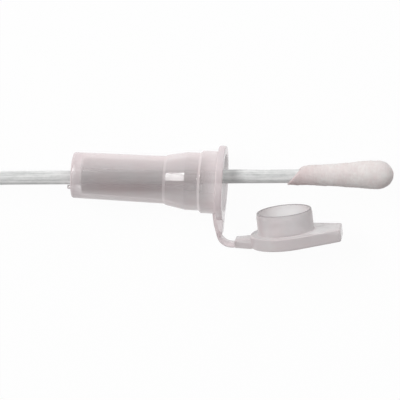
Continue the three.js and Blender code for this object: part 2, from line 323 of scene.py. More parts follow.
def cap_in_tube():
    """The open cap's own axes, seen from the tube's."""
    shut = Matrix(((0, 0, -1, 0), (1, 0, 0, 0), (0, -1, 0, 0), (0, 0, 0, 1)))
    pivot = hinge_point()
    turn = Matrix.Rotation(-bpy.context.scene.swab_tube_hinge.open_angle, 4, "Z")
    return Matrix.Translation(pivot) @ turn @ Matrix.Translation(-pivot) @ shut


def cap_axes():
    """The open cap's own axes: Z along its plug, X towards the thumb tab."""
    return tube_axes() @ cap_in_tube()


# ---- Outlines ----

EASED = 0.3 * MM  # the moulding's usual rounding


def rounded_outline(corners, steps=5):
    """A closed outline through corners (x, y, radius), each of them rounded by an arc."""
    points = []
    for place, (x, y, radius) in enumerate(corners):
        corner = Vector((x, y))
        if radius <= 0.0:
            points.append(corner)
            continue
        before = (Vector(corners[place - 1][:2]) - corner).normalized()
        after = (Vector(corners[(place + 1) % len(corners)][:2]) - corner).normalized()
        half = before.angle(after) / 2
        centre = corner + (before + after).normalized() * (radius / math.sin(half))
        start = corner + before * (radius / math.tan(half)) - centre
        end = corner + after * (radius / math.tan(half)) - centre
        sweep = math.atan2(start.x * end.y - start.y * end.x, start.dot(end))
        for step in range(steps + 1):
            points.append(centre + Matrix.Rotation(sweep * step / steps, 2) @ start)
    return points


def tube_wall_outline(tube):
    """The turned wall of the guard tube as (along the tube, radius), closed on itself."""
    closed_end = -tube.length
    seat_end = -tube.seat_depth
    collar_back = seat_end - tube.seat_shelf
    collar = tube.seat_radius + tube.collar_wall
    flange = flange_radius(tube)
    barrel_bore = tube.barrel_radius - tube.wall
    end_bore = tube.end_radius - tube.wall
    neck_bore = tube.neck_radius - tube.wall
    shoulder = tube.flare_shoulder
    inner_end = closed_end + tube.end_wall
    taper = (tube.barrel_radius - tube.end_radius) / (tube.length - tube.flare_start)
    radius_there = tube.end_radius + taper * tube.end_wall
    soft, fine = EASED, 0.08 * MM
    return rounded_outline([
        (closed_end, tube.guide_radius, fine),
        (closed_end, tube.end_radius, tube.end_edge),
        (inner_end, radius_there, 0.0),
        (-tube.flare_start, tube.barrel_radius, fine),
        (2 * shoulder - tube.flare_start, tube.barrel_radius + shoulder, soft),
        (-tube.flare_end, tube.neck_radius, 3 * soft),
        (collar_back, tube.neck_radius, soft),
        (collar_back + tube.collar_bevel, collar, 0.5 * soft),
        (-tube.flange_thickness, collar, fine),
        (-tube.flange_thickness, flange, tube.flange_edge),
        (0.0, flange, tube.flange_edge),
        (0.0, tube.seat_radius + tube.mouth_chamfer, fine),
        (-tube.mouth_chamfer, tube.seat_radius, fine),
        (seat_end, tube.seat_radius, fine),
        (seat_end, neck_bore, fine),
        (-tube.flare_end, neck_bore, 3 * soft),
        (-tube.flare_start, barrel_bore, 3 * soft),
        (inner_end, end_bore, soft),
        (inner_end, tube.guide_radius, fine),
    ])


def nub_outline(tube):
    """The moulding nub, from its outer end into the closed end's wall."""
    inside = tube.nub_length + tube.end_wall / 2
    return rounded_outline([
        (0.0, 0.0, 0.0),
        (0.0, 0.8 * tube.nub_radius, EASED / 2),
        (0.6 * tube.nub_length, tube.nub_radius, 2 * EASED / 3),
        (inside, 1.1 * tube.nub_radius, 0.0),
        (inside, 0.0, 0.0),
    ])


def root_outline(tube, hinge):
    """The strap's root seen from the side, in the tube's own axes."""
    flange = flange_radius(tube)
    inside = -(tube.seat_radius + tube.collar_wall / 2)
    end = -(flange + hinge.root_length)
    return rounded_outline([
        (-tube.flange_edge, inside, 0.0),
        (-hinge.root_thickness, inside, 0.0),
        (-hinge.root_thickness, -tube.seat_radius - tube.collar_wall, 0.0),
        (-hinge.root_kink_thickness, -flange - hinge.root_kink_depth, 4 * EASED),
        (-hinge.root_end_thickness, end, EASED / 3),
        (-hinge.root_end_setback, end, hinge.root_corner),
        (0.0, -flange, 1.0 * MM),
        (0.0, inside, 0.0),
    ])


def plate_outline(cap, inset):
    """The round plate with straight sides to the thumb tab, all of it set in by one distance."""
    corner = Vector((cap.tab_reach - cap.tab_corner, cap.tab_half_width - cap.tab_corner))
    lean = math.acos((cap.plate_radius - cap.tab_corner) / corner.length)
    side = math.atan2(corner.y, corner.x) + lean
    corner_steps = 8
    # each row: centre, radius, start, end, steps
    arcs = [
        (Vector((0.0, 0.0)), cap.plate_radius - inset, side, 2 * math.pi - side, cap.segments),
        (Vector((corner.x, -corner.y)), cap.tab_corner - inset, -side, 0.0, corner_steps),
        (corner, cap.tab_corner - inset, 0.0, side, corner_steps),
    ]
    points = []
    for centre, radius, start, end, steps in arcs:
        for step in range(steps + 1):
            turn = start + (end - start) * step / steps
            points.append(centre + radius * Vector((math.cos(turn), math.sin(turn))))
    return points


def plug_outline(cap):
    """The hollow plug's wall as (along its axis, radius), with a fillet down to the plate."""
    inner = cap.plug_radius - cap.plug_wall
    below = -cap.plate_thickness / 3
    rim = cap.plug_radius - cap.plug_lead_in
    fillet, rim_edge = cap.plug_fillet, 0.12 * MM
    return rounded_outline([
        (below, inner - fillet, 0.0),
        (below, cap.plug_radius + fillet, 0.0),
        (0.0, cap.plug_radius + fillet, 0.0),
        (0.3 * fillet, cap.plug_radius + 0.3 * fillet, 0.0),
        (fillet, cap.plug_radius, 0.0),
        (cap.plug_height - cap.plug_lead_in_length, cap.plug_radius, EASED),
        (cap.plug_height, rim, rim_edge),
        (cap.plug_height, inner, rim_edge),
        (fillet, inner, 0.0),
        (0.3 * fillet, inner - 0.3 * fillet, 0.0),
        (0.0, inner - fillet, 0.0),
    ])


def tongue_outline(cap):
    """The hinge tongue seen from the side, as (along the cap, across the plate)."""
    inside = cap.plate_edge + EASED - cap.plate_radius
    top = cap.tongue_thickness - cap.plate_thickness
    return rounded_outline([
        (-cap.tongue_reach, cap.tongue_rise - cap.plate_thickness, 2 * EASED / 3),
        (-cap.plate_radius, -cap.plate_thickness, 0.0),
        (inside, -cap.plate_thickness, 0.0),
        (inside, top, 0.0),
        (-cap.tongue_reach, top, EASED / 2),
    ])


# ---- Meshes ----

SAME_PLACE = 1e-7  # points closer than this are merged, in metres
SLIVER = 1e-6  # edges shorter than this are dissolved after a union, in metres


def closed_mesh(name, bm):
    """A mesh from a bmesh, with doubles merged and faces pointing out."""
    bmesh.ops.remove_doubles(bm, verts=bm.verts, dist=SAME_PLACE)
    bmesh.ops.recalc_face_normals(bm, faces=bm.faces)
    mesh = bpy.data.meshes.new(name)
    bm.to_mesh(mesh)
    bm.free()
    return mesh


def cleaned(name, mesh):
    """A copy of a mesh, with doubles merged and faces pointing out."""
    bm = bmesh.new()
    bm.from_mesh(mesh)
    return closed_mesh(name, bm)


def lofted(name, rings, flat_ends=True):
    """A skin through equal rings of points. Without flat ends, the end rings are single points."""
    bm = bmesh.new()
    rows = [[bm.verts.new(point) for point in ring] for ring in rings]
    for lower, upper in zip(rows, rows[1:]):
        for place in range(len(lower)):
            after = (place + 1) % len(lower)
            bm.faces.new((lower[place], lower[after], upper[after], upper[place]))
    if flat_ends:
        bm.faces.new(list(reversed(rows[0])))
        bm.faces.new(rows[-1])
    return closed_mesh(name, bm)


def slab(name, outline, width, edge):
    """An outline in the XY plane made a slab of a width about that plane, with eased edges."""
    bm = bmesh.new()
    face = bm.faces.new([bm.verts.new((x, y, -width / 2)) for x, y in outline])
    made = bmesh.ops.extrude_face_region(bm, geom=[face])["geom"]
    raised = [item for item in made if isinstance(item, bmesh.types.BMVert)]
    bmesh.ops.translate(bm, verts=raised, vec=(0.0, 0.0, width))
    flat = [e for e in bm.edges if abs(e.verts[0].co.z - e.verts[1].co.z) < edge / 10]
    bmesh.ops.bevel(bm, geom=flat, offset=edge, segments=3, profile=0.5, affect="EDGES")
    return closed_mesh(name, bm)


def linked_object(name, data):
    """A new object in the scene for a mesh, a lamp or a camera."""
    made = bpy.data.objects.new(name, data)
    bpy.context.scene.collection.objects.link(made)
    return made


def plain_mesh(piece):
    """The mesh that an object's modifiers make. The modifiers are then taken off."""
    bpy.context.view_layer.update()
    depsgraph = bpy.context.evaluated_depsgraph_get()
    evaluated = piece.evaluated_get(depsgraph)
    mesh = bpy.data.meshes.new_from_object(
        evaluated, preserve_all_data_layers=True, depsgraph=depsgraph,
    )
    piece.modifiers.clear()
    return mesh


def joined(name, meshes):
    """Several overlapping closed meshes made one closed mesh."""
    base, *others = [linked_object(name, mesh) for mesh in meshes]
    for other in others:
        union = base.modifiers.new("Union", "BOOLEAN")
        union.operation = "UNION"
        union.solver = "EXACT"
        union.object = other
    mesh = plain_mesh(base)
    for helper in [base, *others]:
        bpy.data.objects.remove(helper)
    bm = bmesh.new()
    bm.from_mesh(mesh)
    bmesh.ops.dissolve_degenerate(bm, dist=SLIVER, edges=bm.edges)
    bm.to_mesh(mesh)
    bm.free()
    return mesh


def placed_piece(name, mesh, axes, materials, sharp_degrees=35.0, finish_of=None):
    """An object whose mesh keeps its own axes as an attribute and is then laid where it belongs.

    finish_of(centre, normal) says which of the materials a face gets.
    """
    mesh.name = name
    own = mesh.attributes.new("own_axes", "FLOAT_VECTOR", "POINT")
    places = [0.0] * (3 * len(mesh.vertices))
    mesh.vertices.foreach_get("co", places)
    own.data.foreach_set("vector", places)
    mesh.materials.clear()
    for material in materials:
        mesh.materials.append(material)
    for face in mesh.polygons:
        face.material_index = finish_of(face.center, face.normal) if finish_of else 0
    mesh.transform(axes)
    mesh.shade_smooth()
    mesh.set_sharp_from_angle(angle=math.radians(sharp_degrees))
    mesh.update()
    return linked_object(name, mesh)


# ---- Node trees that make shapes ----

def shape_tree(name, inputs):
    """A geometry tree with nothing in it yet, and the sockets that give its inputs by name."""
    tree = bpy.data.node_groups.new(name, "GeometryNodeTree")
    tree.interface.new_socket("Geometry", in_out="INPUT", socket_type="NodeSocketGeometry")
    for label, kind in inputs:
        tree.interface.new_socket(label, in_out="INPUT", socket_type=f"NodeSocket{kind}")
    tree.interface.new_socket("Geometry", in_out="OUTPUT", socket_type="NodeSocketGeometry")
    return tree, tree.nodes.new("NodeGroupInput").outputs


def feed(tree, made, inputs):
    """Sets a node's inputs, each to a value, an output socket or another node's first output."""
    for key, value in inputs.items():
        if isinstance(value, bpy.types.Node):
            value = value.outputs[0]
        if isinstance(value, bpy.types.NodeSocket):
            tree.links.new(value, made.inputs[key])
        else:
            made.inputs[key].default_value = value


def node(tree, kind, inputs=None, **settings):
    """A new node with its settings and its inputs."""
    made = tree.nodes.new(kind)
    for key, value in settings.items():
        setattr(made, key, value)
    feed(tree, made, inputs or {})
    return made


def maths(tree, operation, first, second=0.0):
    """The result of one operation on two numbers or sockets."""
    return node(tree, "ShaderNodeMath", {0: first, 1: second}, operation=operation).outputs[0]


def end_tree(tree, geometry, material):
    """Ends a geometry tree in Realize Instances and Set Material."""
    real = node(tree, "GeometryNodeRealizeInstances", {"Geometry": geometry})
    painted = node(tree, "GeometryNodeSetMaterial", {"Geometry": real, "Material": material})
    node(tree, "NodeGroupOutput", {"Geometry": painted})
    return tree


def grown(mesh, tree, values):
    """The plain mesh that a geometry tree makes from a mesh, with its inputs by name."""
    helper = linked_object(tree.name, mesh)
    modifier = helper.modifiers.new(tree.name, "NODES")
    modifier.node_group = tree
    for item in tree.interface.items_tree:
        if item.in_out == "INPUT" and item.name in values:
            modifier[item.identifier] = values[item.name]
    helper.update_tag()
    made = plain_mesh(helper)
    bpy.data.objects.remove(helper)
    return made


def drawn_line(name, points, closed=False):
    """A mesh of points and the edges from each to the next."""
    edges = [(place, place + 1) for place in range(len(points) - 1)]
    if closed:
        edges.append((len(points) - 1, 0))
    mesh = bpy.data.meshes.new(name)
    mesh.from_pydata(points, edges, [])
    return mesh


def turning_tree(material):
    """Turns a closed outline, drawn as (radius, -height), about the Z axis."""
    tree, given = shape_tree("Turned wall", [("Rail Radius", "Float"), ("Segments", "Int")])
    back = maths(tree, "MULTIPLY", given["Rail Radius"], -1.0)
    profile = node(tree, "GeometryNodeTransform", {
        "Geometry": node(tree, "GeometryNodeMeshToCurve", {"Mesh": given["Geometry"]}),
        "Translation": node(tree, "ShaderNodeCombineXYZ", {"X": back}),
    })
    rail = node(tree, "GeometryNodeCurvePrimitiveCircle", {
        "Resolution": given["Segments"], "Radius": given["Rail Radius"],
    })
    upright = node(tree, "GeometryNodeSetCurveNormal", {"Curve": rail}, mode="Z_UP")
    wall = node(tree, "GeometryNodeCurveToMesh", {"Curve": upright, "Profile Curve": profile})
    return end_tree(tree, wall, material)


def turned(name, outline, segments, material):
    """A closed outline of (height, radius) points turned about the Z axis."""
    drawn = drawn_line(name, [(radius, -height, 0.0) for height, radius in outline], closed=True)
    rail = max(radius for _, radius in outline)
    values = {"Rail Radius": rail, "Segments": segments}
    return cleaned(name, grown(drawn, turning_tree(material), values))


def along_x(mesh):
    """Lays a mesh turned about Z so that its axis points along X."""
    mesh.transform(Matrix.Rotation(math.pi / 2, 4, "Y"))
    return mesh


# ---- Materials ----

def emptied(owner):
    """The node tree of a new material or world, with nothing in it."""
    owner.use_nodes = True
    owner.node_tree.nodes.clear()
    return owner.node_tree


def shader_tree(name):
    """A new material with one Principled shader, and the pattern coordinates of its piece."""
    material = bpy.data.materials.new(name)
    tree = emptied(material)
    shader = node(tree, "ShaderNodeBsdfPrincipled")
    node(tree, "ShaderNodeOutputMaterial", {"Surface": shader})
    own = node(tree, "ShaderNodeAttribute", attribute_type="GEOMETRY", attribute_name="own_axes")
    return material, tree, shader, own.outputs["Vector"]


def pattern(tree, place, scale, detail=3.0, roughness=0.5, stretch=(1.0, 1.0, 1.0), twist=0.0):
    """A noise pattern over a piece's own axes. Scale is in repeats per millimetre."""
    laid = node(tree, "ShaderNodeMapping", {
        "Vector": place, "Scale": [s / MM for s in stretch], "Rotation": (twist, 0.0, 0.0),
    })
    made = node(tree, "ShaderNodeTexNoise", {
        "Vector": laid, "Scale": scale, "Detail": detail, "Roughness": roughness,
    })
    return made.outputs["Fac"]


def blended_colour(tree, factor, low, high, start=0.35, end=0.65):
    """A colour ramp between two colours."""
    ramp = node(tree, "ShaderNodeValToRGB", {"Fac": factor})
    for stop, position, shade in zip(ramp.color_ramp.elements, (start, end), (low, high)):
        stop.position, stop.color = position, (*shade, 1.0)
    return ramp.outputs["Color"]


def mixed_colour(tree, factor, first, second, how="MIX"):
    """Two colours mixed, or multiplied, by a factor. Each is a value or a socket."""
    mix = node(
        tree, "ShaderNodeMix", {"Factor": factor, "A": first, "B": second},
        data_type="RGBA", blend_type=how,
    )
    return mix.outputs["Result"]


def ranged(tree, value, start=0.0, end=1.0, low=0.0, high=1.0, **settings):
    """Goes from low to high as a value goes from start to end, and no further."""
    made = node(tree, "ShaderNodeMapRange", {
        "Value": value, "From Min": start, "From Max": end, "To Min": low, "To Max": high,
    }, **settings)
    return made.outputs["Result"]


def along_own_x(tree, place, start, end, low=0.0, high=1.0):
    """Goes from low to high between two places along a piece's own X axis."""
    apart = node(tree, "ShaderNodeSeparateXYZ", {"Vector": place})
    return ranged(tree, apart.outputs["X"], start, end, low, high)


def relief(tree, height, distance, strength=1.0):
    """A bump of a given height in metres."""
    bump = node(tree, "ShaderNodeBump", {
        "Height": height, "Distance": distance, "Strength": strength,
    })
    return bump.outputs["Normal"]


def tinted(base, red, green, blue):
    """A colour multiplied, channel by channel."""
    return (base[0] * red, base[1] * green, base[2] * blue)


EDGE_BLEND = 0.72  # how early a wall starts to hide more as it turns edge on


def polyethylene(name, base, refraction, milk, most_milk=None, tint=None):
    """Milky moulded polyethylene, clouded and glossy.

    Milk is how much it hides. It rises to most milk where the surface is seen edge on, or where
    a tint says so. A tint takes the tree, the place and the colour, and gives back the colour and
    a strength from 0 to 1.
    """
    material, tree, shader, place = shader_tree(name)
    clouds = pattern(tree, place, scale=0.22, detail=3.0)
    shade = blended_colour(
        tree, clouds, tinted(base, 1.0, 0.975, 0.97), tinted(base, 1.0, 1.035, 1.03),
    )
    haze = None
    if tint is not None:
        shade, haze = tint(tree, place, shade)
    elif most_milk is not None:
        haze = node(tree, "ShaderNodeLayerWeight", {"Blend": EDGE_BLEND}).outputs["Facing"]
    skin = pattern(tree, place, scale=1.3, detail=4.0)
    waves = pattern(tree, place, scale=0.5, detail=2.0)
    feed(tree, shader, {
        "Base Color": shade, "IOR": refraction,
        "Roughness": ranged(tree, skin, low=0.07, high=0.13),
        "Normal": relief(tree, waves, distance=0.02 * MM),
        "Alpha": milk if haze is None else ranged(tree, haze, low=milk, high=most_milk),
    })
    return material


def bore_painted_shade_and_light(tree, place, shade):
    """The bore's colour, paler near the mouth, and the strength of its dark streak.

    It is a painted shadow of the shaft on the bore, running along the shaft on the hinge's side.
    The paler colour near the mouth is painted light.
    """
    tube, finishes = bpy.context.scene.swab_tube_tube, bpy.context.scene.swab_tube_finishes
    # painted shadow: a soft dark band along the shaft's line, fading out towards the mouth
    middle = along_own_x(
        tree, place, -tube.length, 0.0, tube.shaft_shadow_at_end, tube.shaft_shadow_at_mouth,
    )
    own_y = node(tree, "ShaderNodeSeparateXYZ", {"Vector": place}).outputs["Y"]
    away = maths(tree, "ABSOLUTE", maths(tree, "SUBTRACT", own_y, middle))
    near = ranged(
        tree, away, 0.0, tube.shaft_shadow_reach, 1.0, 0.0, interpolation_type="SMOOTHSTEP",
    )
    deep = along_own_x(tree, place, -tube.flange_thickness, -0.5 * tube.length)
    strength = maths(tree, "MULTIPLY", near, deep)
    unchanged = (1.0, 1.0, 1.0)
    # painted shadow: the bore's colour darkened in that band
    dark = blended_colour(tree, strength, unchanged, tuple(finishes.painted_shaft_shadow), start=0.0, end=1.0)
    with_painted_shadow = mixed_colour(tree, 1.0, shade, dark, "MULTIPLY")
    # painted light: the bore's colour turns to the lighter hollow colour near the mouth
    light_near_mouth = along_own_x(tree, place, -tube.painted_light_depth, -tube.flange_thickness)
    pale = mixed_colour(tree, light_near_mouth, with_painted_shadow, (*finishes.plastic_hollow_painted_light, 1.0))
    return pale, strength


def plastics():
    """The moulding's plastic as seven finishes, by the kind of place that it is in.

    A wall's outer skin is the clearer one. The bore's darker skin is painted shade, for the dark
    core that the curved wall gives the light that passes through it. The cap's greyer colour and
    the rim's darker colour are painted shade, the hollow's lighter colour is painted light, and
    the solid parts are a little darker.
    """
    finishes = bpy.context.scene.swab_tube_finishes
    base, cap = tuple(finishes.plastic), tuple(finishes.plastic_cap_painted_shade)
    bore, hollow = tuple(finishes.plastic_bore_painted_shade), tuple(finishes.plastic_hollow_painted_light)
    edge = finishes.edge_milk
    # each row: name, colour, refractive index, milk, most milk, tint
    rows = (
        ("polyethylene_wall", base, 2.05, finishes.wall_milk, edge),
        ("polyethylene_solid", tinted(base, 0.91, 0.90, 0.91), 1.7, finishes.solid_milk, edge),
        # painted shade: the bore, darker, with the painted shadow of the shaft and painted light
        # near the mouth
        ("polyethylene_bore", bore, 1.5, finishes.bore_milk, finishes.shaft_shadow_milk, bore_painted_shade_and_light),
        # painted shade: the plug and the plate take the cap's greyer colour
        ("polyethylene_plug", cap, 1.4, finishes.plug_milk, edge),
        ("polyethylene_plate", cap, 1.4, finishes.plate_milk, edge),
        # painted light: the lighter colour of the hollows
        ("polyethylene_hollow", hollow, 1.4, finishes.hollow_milk),
        # painted shade: the plug's darker rim
        ("polyethylene_rim", tuple(finishes.plastic_rim_painted_shade), 1.4, finishes.rim_milk),
    )
    return [bpy.data.materials.get(row[0]) or polyethylene(*row) for row in rows]


# the finishes by index: BORE, PLUG, PLATE and RIM carry painted shade, HOLLOW carries painted
# light
WALL, SOLID, BORE, PLUG, PLATE, HOLLOW, RIM = range(7)


def stick_plastic():
    """Light grey stick with fine streaks along its length."""
    base = tuple(bpy.context.scene.swab_tube_finishes.stick)
    material, tree, shader, place = shader_tree("streaked_stick")
    streaks = pattern(tree, place, scale=1.0, detail=4.0, stretch=(0.1, 4.5, 4.5))
    flecks = pattern(tree, place, scale=2.0, detail=3.0, roughness=0.6, stretch=(0.45, 1.0, 1.0))
    fleck_share = 0.5
    added = maths(tree, "ADD", streaks, maths(tree, "MULTIPLY", flecks, fleck_share))
    grain = maths(tree, "MULTIPLY", added, 1 / (1 + fleck_share))
    dark, light = tinted(base, 0.78, 0.79, 0.79), tinted(base, 1.16, 1.16, 1.16)
    feed(tree, shader, {
        "Base Color": blended_colour(tree, grain, dark, light, start=0.36, end=0.64),
        "Roughness": ranged(tree, flecks, low=0.4, high=0.62), "Diffuse Roughness": 1.0,
        "Normal": relief(tree, grain, distance=0.05 * MM), "IOR": 1.49,
    })
    return material


def wound_cotton():
    """Matt cotton, with fibres that run round the bud on a slant and a faint pink cast."""
    base = tuple(bpy.context.scene.swab_tube_finishes.cotton)
    material, tree, shader, place = shader_tree("wound_cotton")
    fibres = pattern(tree, place, scale=2.2, detail=5.0, roughness=0.65, stretch=(1.0, 0.45, 0.45))
    clouds = pattern(tree, place, scale=0.35, detail=3.0)
    grain = maths(tree, "MULTIPLY", maths(tree, "ADD", fibres, clouds), 0.5)
    dark, light = tinted(base, 0.90, 0.86, 0.86), tinted(base, 0.99, 1.0, 0.99)
    fibrous = blended_colour(tree, grain, dark, light, start=0.38, end=0.62)
    swab = bpy.context.scene.swab_tube_swab
    tail = swab.reach - swab.bud_length
    from_tail = along_own_x(tree, place, tail, tail + 0.4 * swab.bud_length)
    at_tail, beyond = (0.86, 0.79, 0.79), (0.97, 0.98, 0.97)
    blush = blended_colour(tree, from_tail, at_tail, beyond, start=0.1, end=0.9)
    feed(tree, shader, {
        "Base Color": mixed_colour(tree, 1.0, fibrous, blush, "MULTIPLY"),
        "Normal": relief(tree, fibres, distance=0.06 * MM),
        "Roughness": 0.95, "Specular IOR Level": 0.2,
        "Sheen Weight": 0.05, "Sheen Roughness": 0.6,
        "Subsurface Weight": 0.2, "Subsurface Scale": 1.0,
        "Subsurface Radius": (0.5 * MM, 0.4 * MM, 0.4 * MM),
    })
    return material


# ---- Pieces ----

class SWABTUBE_OT_guard_tube(bpy.types.Operator):
    """Builds the guard tube with its flared neck, collar, flange, strap root and nub"""

    bl_idname = "swabtube.guard_tube"
    bl_label = "Guard Tube"
    bl_options = {"REGISTER", "UNDO"}

    def execute(self, context):
        tube, hinge = context.scene.swab_tube_tube, context.scene.swab_tube_hinge
        skins = plastics()
        wall = along_x(turned("wall", tube_wall_outline(tube), tube.segments, skins[WALL]))
        root = slab("root", root_outline(tube, hinge), hinge.strap_width, hinge.side_edge)
        nub = along_x(solid_of_revolution("nub", nub_outline(tube), 32))
        from_axis = tube.guide_radius + 1.1 * tube.nub_radius
        nub.transform(Matrix.Translation((-tube.length - tube.nub_length, -from_axis, 0.0)))
        mesh = joined("guard_tube_wall", [wall, root, nub])
        piece = placed_piece(
            "moulded_guard_tube", mesh, tube_axes(), skins,
            finish_of=lambda centre, normal: tube_skin(tube, centre, normal),
        )
        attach(piece, "tube")
        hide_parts("guard_tube")
        return {"FINISHED"}


def tube_skin(tube, centre, normal):
    """Which finish a face of the guard tube has, from its centre and normal in the tube's axes."""
    margin = 0.1 * MM
    away = Vector((0.0, centre.y, centre.z))
    in_flange = centre.x > -tube.flange_thickness - margin
    facing_mouth = normal.x > 0.5 and not in_flange
    facing_axis = normal.dot(away.normalized()) < -0.3 and centre.x > tube.end_edge - tube.length
    in_end = centre.x < tube.end_wall - tube.length
    # painted light: the inner faces at the closed end get the lighter hollow colour
    if (facing_mouth and centre.x < -tube.flare_start) or (facing_axis and in_end):
        return HOLLOW
    # painted shade: the other inner faces get the bore's darker colour
    if facing_mouth or facing_axis:
        return BORE
    # the nub takes the plate's finish, with the cap's greyer painted-shade colour
    on_nub = centre.x < -tube.length - margin / 2
    if on_nub:
        return PLATE
    in_root = away.length > tube.seat_radius + tube.collar_wall + 2 * margin
    return SOLID if in_flange or in_end or in_root else WALL


class SWABTUBE_OT_snap_cap(bpy.types.Operator):
    """Builds the snap cap: plate, thumb tab, hinge tongue and hollow plug"""

    bl_idname = "swabtube.snap_cap"
    bl_label = "Snap Cap"
    bl_options = {"REGISTER", "UNDO"}

    def execute(self, context):
        cap, hinge = context.scene.swab_tube_cap, context.scene.swab_tube_hinge
        skins = plastics()
        plug = turned("plug", plug_outline(cap), cap.segments, skins[WALL])
        tongue = slab("tongue", tongue_outline(cap), hinge.strap_width, hinge.side_edge)
        tongue.transform(Matrix.Rotation(math.pi / 2, 4, "X"))
        mesh = joined("snap_cap_body", [cap_plate(cap), tongue, plug])
        piece = placed_piece(
            "moulded_snap_cap", mesh, cap_axes(), skins,
            finish_of=lambda centre, normal: cap_skin(cap, centre),
        )
        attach(piece, "cap")
        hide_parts("snap_cap")
        return {"FINISHED"}


def cap_skin(cap, centre):
    """Which finish a face of the snap cap has, from its centre in the cap's axes."""
    margin = 0.05 * MM
    # painted shade: the plug's rim gets the darker rim colour
    if centre.z > cap.plug_height - 2 * margin:
        return RIM
    # painted light: the skin of the plug's hollow gets the lighter hollow colour
    in_hollow = centre.xy.length < cap.plug_radius - cap.plug_wall + margin
    if centre.z > -margin and in_hollow:
        return HOLLOW
    # painted shade: the plug and the plate get the cap's greyer colour
    return PLUG if centre.z > cap.plug_fillet / 2 else PLATE


def cap_plate(cap):
    """The plate and its thumb tab, with rounded edges."""
    edge, steps = cap.plate_edge, 5
    rings = []
    for centre, start in ((edge - cap.plate_thickness, -math.pi / 2), (-edge, 0.0)):
        for step in range(steps + 1):
            turn = start + math.pi / 2 * step / steps
            height = centre + edge * math.sin(turn)
            ring = plate_outline(cap, edge - edge * math.cos(turn))
            rings.append([(x, y, height) for x, y in ring])
    return lofted("plate", rings)


def solid_of_revolution(name, outline, segments):
    """A solid about the Z axis from (height, radius) points that start and end on the axis."""
    bm = bmesh.new()
    points = [bm.verts.new((radius, 0.0, height)) for height, radius in outline]
    edges = [bm.edges.new(pair) for pair in zip(points, points[1:])]
    bmesh.ops.spin(
        bm, geom=points + edges, cent=(0.0, 0.0, 0.0), axis=(0.0, 0.0, 1.0),
        angle=2 * math.pi, steps=segments, use_merge=True,
    )
    return closed_mesh(name, bm)


class SWABTUBE_OT_hinge_strap(bpy.types.Operator):
    """Builds the thin strap that bends between the root and the cap's tongue"""

    bl_idname = "swabtube.hinge_strap"
    bl_label = "Hinge Strap"
    bl_options = {"REGISTER", "UNDO"}

    def execute(self, context):
        hinge = context.scene.swab_tube_hinge
        plastic = plastics()[SOLID]
        path = strap_path()
        drawn = drawn_line("strap_path", [(x, y, 0.0) for x, y in path])
        band = grown(drawn, band_tree(plastic), {
            "Thickness": hinge.strap_thickness, "Width": hinge.strap_width,
            "Edge": hinge.strap_edge,
        })
        axes = tube_axes()
        piece = placed_piece("living_hinge", cleaned("living_hinge", band), axes, (plastic,))
        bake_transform(piece)
        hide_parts("hinge_strap")
        return {"FINISHED"}


def strap_path(steps=28):
    """The strap's middle line in the tube's own axes, from inside the root into the tongue."""
    scene = bpy.context.scene
    tube, hinge, cap = scene.swab_tube_tube, scene.swab_tube_hinge, scene.swab_tube_cap
    root_end = -(flange_radius(tube) + hinge.root_length)
    start = Vector((-hinge.root_end_thickness + hinge.strap_thickness / 2, root_end))
    start_way = Vector((math.sin(hinge.strap_start_turn), -math.cos(hinge.strap_start_turn)))
    height = (cap.tongue_rise + hinge.strap_inset + hinge.strap_thickness / 2
              - cap.plate_thickness)
    end = (cap_in_tube() @ Vector((-cap.tongue_reach, 0.0, height))).to_2d()
    end_way = Vector((math.sin(hinge.open_angle), math.cos(hinge.open_angle)))
    handle = hinge.strap_fullness * (end - start).length
    knots = (start, start + handle * start_way, end - handle * end_way, end)
    points = [start + Vector((0.0, hinge.strap_overlap))]
    for step in range(steps + 1):
        t = step / steps
        parts = ((1 - t) ** 3, 3 * t * (1 - t) ** 2, 3 * t * t * (1 - t), t ** 3)
        points.append(sum((part * knot for part, knot in zip(parts, knots)), Vector((0, 0))))
    points.append(end + hinge.strap_overlap * end_way)
    return points


def band_tree(material):
    """Sweeps a rounded rectangle along a path that lies in the XY plane."""
    tree, given = shape_tree("Band", [
        ("Thickness", "Float"), ("Width", "Float"), ("Edge", "Float"),
    ])
    path = node(tree, "GeometryNodeMeshToCurve", {"Mesh": given["Geometry"]})
    upright = node(tree, "GeometryNodeSetCurveNormal", {"Curve": path}, mode="Z_UP")
    section = node(tree, "GeometryNodeCurvePrimitiveQuadrilateral", {
        "Width": given["Thickness"], "Height": given["Width"],
    })
    eased = node(tree, "GeometryNodeFilletCurve", {
        "Curve": section, "Radius": given["Edge"], "Count": 3,
    }, mode="POLY")
    band = node(tree, "GeometryNodeCurveToMesh", {
        "Curve": upright, "Profile Curve": eased, "Fill Caps": True,
    })
    return end_tree(tree, band, material)


class SWABTUBE_OT_swab_shaft(bpy.types.Operator):
    """Builds the swab's stick"""

    bl_idname = "swabtube.swab_shaft"
    bl_label = "Swab Shaft"
    bl_options = {"REGISTER", "UNDO"}

    def execute(self, context):
        swab = context.scene.swab_tube_swab
        length_of_stick = swab.length - swab.tip_cover
        stations = 120
        outline = [(0.0, 0.0), (0.0, swab.shaft_radius - swab.shaft_chamfer)]
        for station in range(stations + 1):
            along = station / stations * (length_of_stick - swab.shaft_chamfer)
            outline.append((swab.shaft_chamfer + along, swab.shaft_radius))
        outline.append((length_of_stick, 0.0))
        mesh = along_x(solid_of_revolution("stick", outline, 64))
        mesh.transform(Matrix.Translation((swab.reach - swab.length, 0.0, 0.0)))
        piece = placed_piece("swab_stick", mesh, swab_axes(), (stick_plastic(),))
        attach(piece, "swab")
        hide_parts("swab_shaft")
        return {"FINISHED"}


TIP_ROUNDNESS = 2.1  # 2 is an ellipse, and more is blunter
FULLEST_AT = 0.93  # share of the body's length where the bud is at its fullest
SWELL_LATENESS = 1.8  # 1 is a plain cone, and more keeps the tail slim for longer


